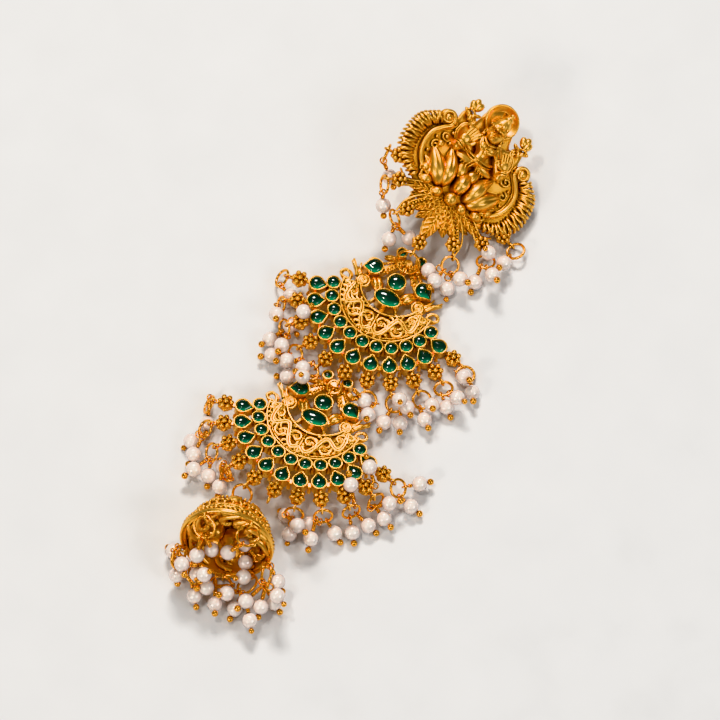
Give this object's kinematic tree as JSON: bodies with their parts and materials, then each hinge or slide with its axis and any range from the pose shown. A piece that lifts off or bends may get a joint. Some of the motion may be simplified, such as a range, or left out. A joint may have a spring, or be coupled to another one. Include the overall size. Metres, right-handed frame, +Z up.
{
  "type": "braid ornament",
  "caption": "Gold hair-braid ornament lying flat: cast medallion, stone-set crescent panels and a bell, linked by rings and fringed with pearl drops.",
  "frame": {"origin": "on the surface that the ornament lies on, under the middle of its whole length and width", "axes": "+Z up from the surface, +Y along the ornament towards its medallion, +X to the right of the figure on the medallion as seen from above"},
  "size_m": [0.0626, 0.1506, 0.0215],
  "materials": {
    "gold": "antique yellow gold plate with orange-brown recesses",
    "emerald": "polished emerald-green glass cabochons",
    "pearl": "off-white pearl lustre with a faint pink sheen"
  },
  "bodies": {
    "root": {"hair_pin": "gold", "medallion": "gold", "medallion_jump_rings": "gold", "medallion_drop_pins": "gold", "medallion_pearls": "pearl", "upper_link": "gold", "upper_panel": "gold", "upper_round_stones": "emerald", "upper_pear_stones": "emerald", "upper_centre_stone": "emerald", "upper_oval_stone": "emerald", "upper_side_stones": "emerald", "upper_tiny_stones": "emerald", "upper_jump_rings": "gold", "upper_drop_pins": "gold", "upper_pearls": "pearl", "lower_link": "gold", "lower_panel": "gold", "lower_round_stones": "emerald", "lower_pear_stones": "emerald", "lower_centre_stone": "emerald", "lower_oval_stone": "emerald", "lower_side_stones": "emerald", "lower_tiny_stones": "emerald", "lower_jump_rings": "gold", "lower_drop_pins": "gold", "lower_pearls": "pearl", "bell_link": "gold", "bell": "gold", "bell_jump_rings": "gold", "bell_drop_pins": "gold", "bell_pearls": "pearl"}
  },
  "joints": []
}
